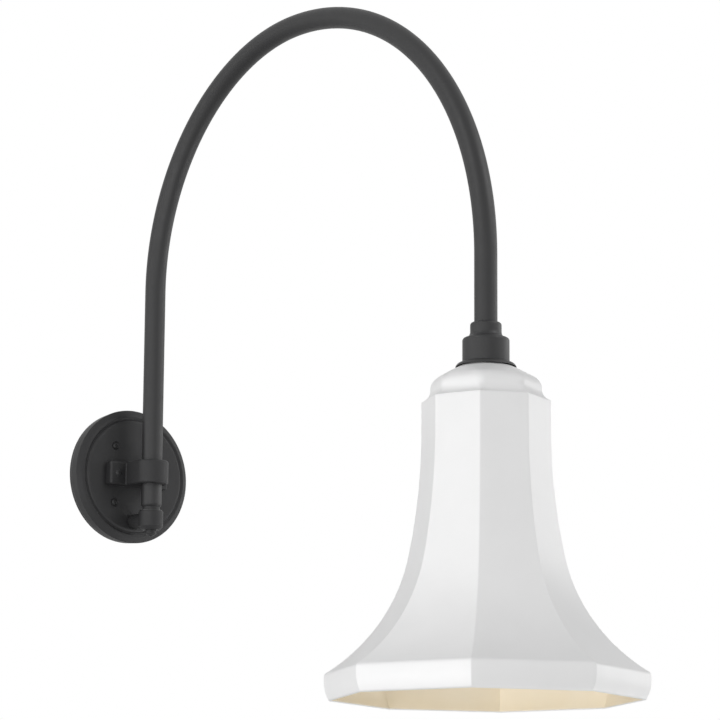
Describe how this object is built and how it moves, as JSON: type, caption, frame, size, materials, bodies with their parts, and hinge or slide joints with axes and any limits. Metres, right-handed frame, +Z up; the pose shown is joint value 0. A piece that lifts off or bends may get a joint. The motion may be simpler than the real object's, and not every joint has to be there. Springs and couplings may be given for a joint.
{
  "type": "gooseneck barn light",
  "caption": "Wall light with a round backplate, a swivelling bent-tube arm and an eight-sided flared metal shade with a rolled lip over a screw lampholder.",
  "frame": {"origin": "middle of the round backplate, on the wall", "axes": "+Y into the wall, so the light stands out along -Y; +Z up; +X to the right as one faces the wall"},
  "size_m": [0.279, 0.6855, 0.6711],
  "materials": {
    "black_powder_coat": "fine-textured matte black powder coat",
    "white_enamel": "satin white enamel on pressed steel, cream inside",
    "zinc_steel": "bright zinc-plated steel",
    "green_screw": "green-dyed plated earth screw",
    "foam_rubber": "closed-cell black foam rubber",
    "acetal": "black acetal",
    "porcelain": "glazed white porcelain",
    "brass": "bare brass"
  },
  "bodies": {
    "wall_mount": {"wall_gasket": "foam_rubber", "adapter_plate": "zinc_steel", "ground_screw": "green_screw", "backplate": "black_powder_coat", "cover_screws": "black_powder_coat", "arm_bracket": "black_powder_coat", "bracket_screws": "black_powder_coat", "bracket_nuts": "zinc_steel", "arm_bush": "acetal", "friction_screw": "zinc_steel", "elbow_housing": "black_powder_coat", "elbow_locknut": "zinc_steel", "elbow_plug": "black_powder_coat", "thrust_washer": "acetal"},
    "arm": {"gooseneck_tube": "black_powder_coat", "pivot_spigot": "black_powder_coat", "spigot_clip": "zinc_steel", "neck_ring": "black_powder_coat", "neck_grub_screw": "zinc_steel", "socket_cup": "black_powder_coat", "cup_locknut": "zinc_steel", "socket_nipple": "zinc_steel", "shade_skirt": "black_powder_coat", "shade_gasket": "foam_rubber", "shade": "white_enamel", "shade_ring": "zinc_steel", "holder_strap": "zinc_steel", "holder_screws": "zinc_steel", "lampholder": "porcelain", "terminal_screws": "brass", "screw_shell": "brass", "centre_contact": "brass"}
  },
  "joints": [
    {"name": "arm_swivel", "type": "hinge", "parent": "wall_mount", "child": "arm", "pos_m": [0, -0.0478, 0], "axis": [0, 0, 1], "range_deg": [-75, 75]}
  ]
}
